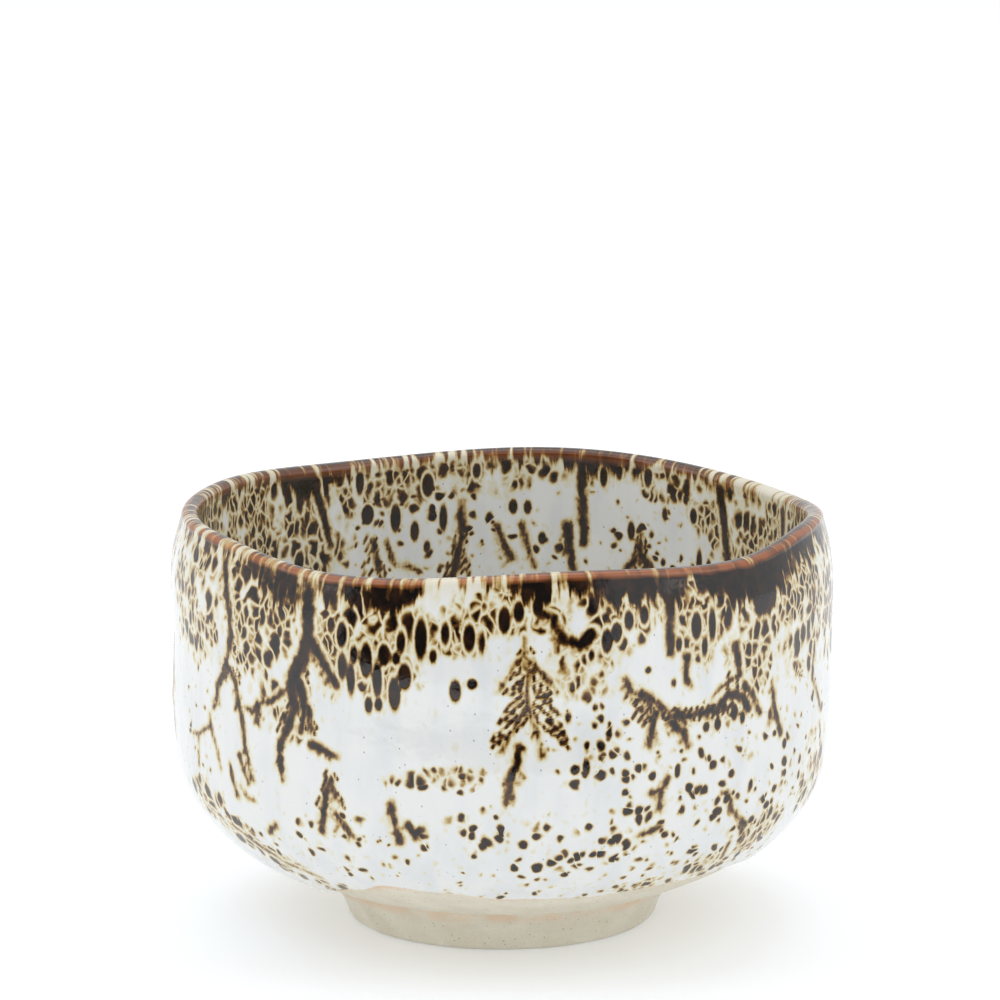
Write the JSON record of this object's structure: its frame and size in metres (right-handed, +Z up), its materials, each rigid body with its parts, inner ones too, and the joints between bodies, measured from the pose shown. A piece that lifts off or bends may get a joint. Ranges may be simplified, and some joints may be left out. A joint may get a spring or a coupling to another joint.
{
  "type": "matcha bowl",
  "caption": "Hand-thrown tea bowl for whisked tea: a deep round body with a wavy lip and a mottled white glaze over dark iron, on a small bare foot ring.",
  "frame": {"origin": "centre of the foot ring's resting face, on the surface that the bowl stands on", "axes": "+Z up along the bowl's axis, -Y towards the front of the bowl, +X to the front's right"},
  "size_m": [0.1196, 0.1196, 0.0756],
  "materials": {
    "stoneware": "matt unglazed buff clay",
    "iron_glaze": "gloss",
    "white_glaze": "gloss",
    "lip_glaze": "gloss"
  },
  "bodies": {
    "root": {"stoneware_bowl": "stoneware", "foot_ring": "stoneware", "luting_slip": "stoneware", "outer_iron_glaze": "iron_glaze", "outer_white_glaze": "white_glaze", "inner_iron_glaze": "iron_glaze", "inner_white_glaze": "white_glaze", "lip_glaze": "lip_glaze"}
  },
  "joints": []
}
